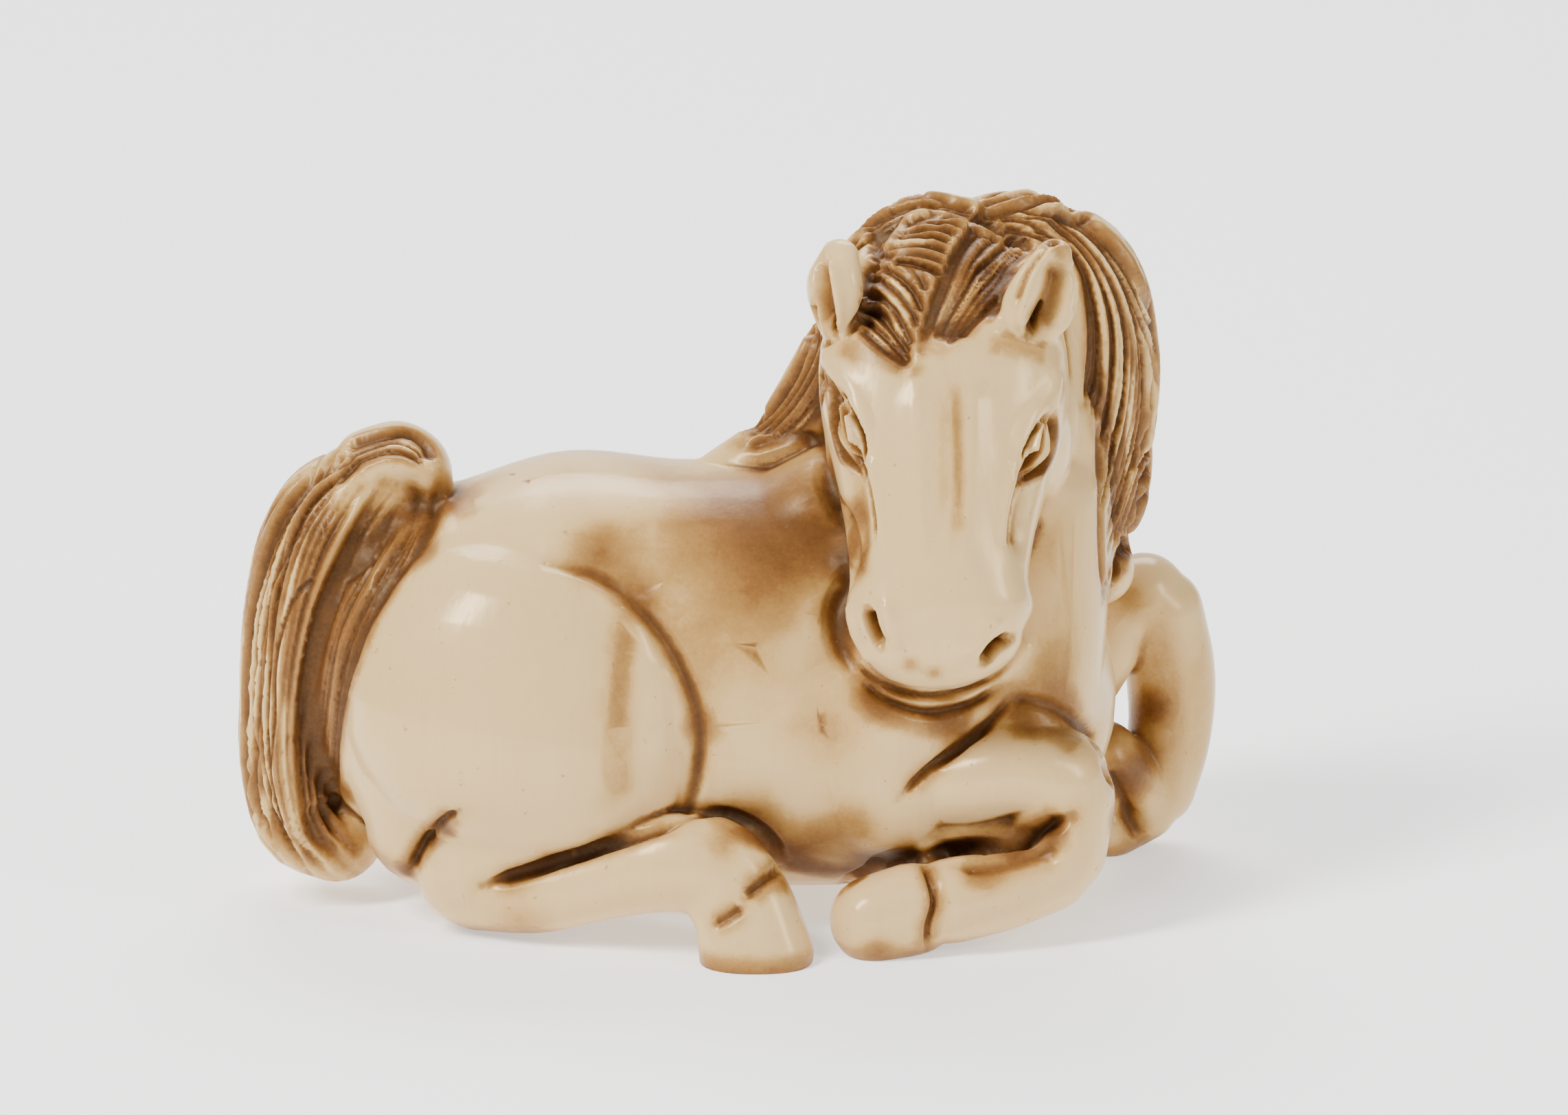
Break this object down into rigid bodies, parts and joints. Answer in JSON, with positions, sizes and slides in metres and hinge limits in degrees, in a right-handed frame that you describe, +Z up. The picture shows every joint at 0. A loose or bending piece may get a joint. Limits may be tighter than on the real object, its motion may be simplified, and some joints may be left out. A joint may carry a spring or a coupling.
{
  "type": "horse netsuke",
  "caption": "Carved ivory toggle in the shape of a horse lying down with folded legs and its head turned to the side, bored through the belly for a cord.",
  "frame": {"origin": "middle of the footprint of the bounding box, on the surface that the carving stands on", "axes": "+X towards the chest along the body, -Y towards the side that the head is turned to, +Z up"},
  "size_m": [0.0484, 0.0248, 0.0355],
  "materials": {
    "polished ivory": "polished ivory, cream, with brown stain rubbed into the cuts"
  },
  "bodies": {
    "root": {"horse": "polished ivory"}
  },
  "joints": []
}
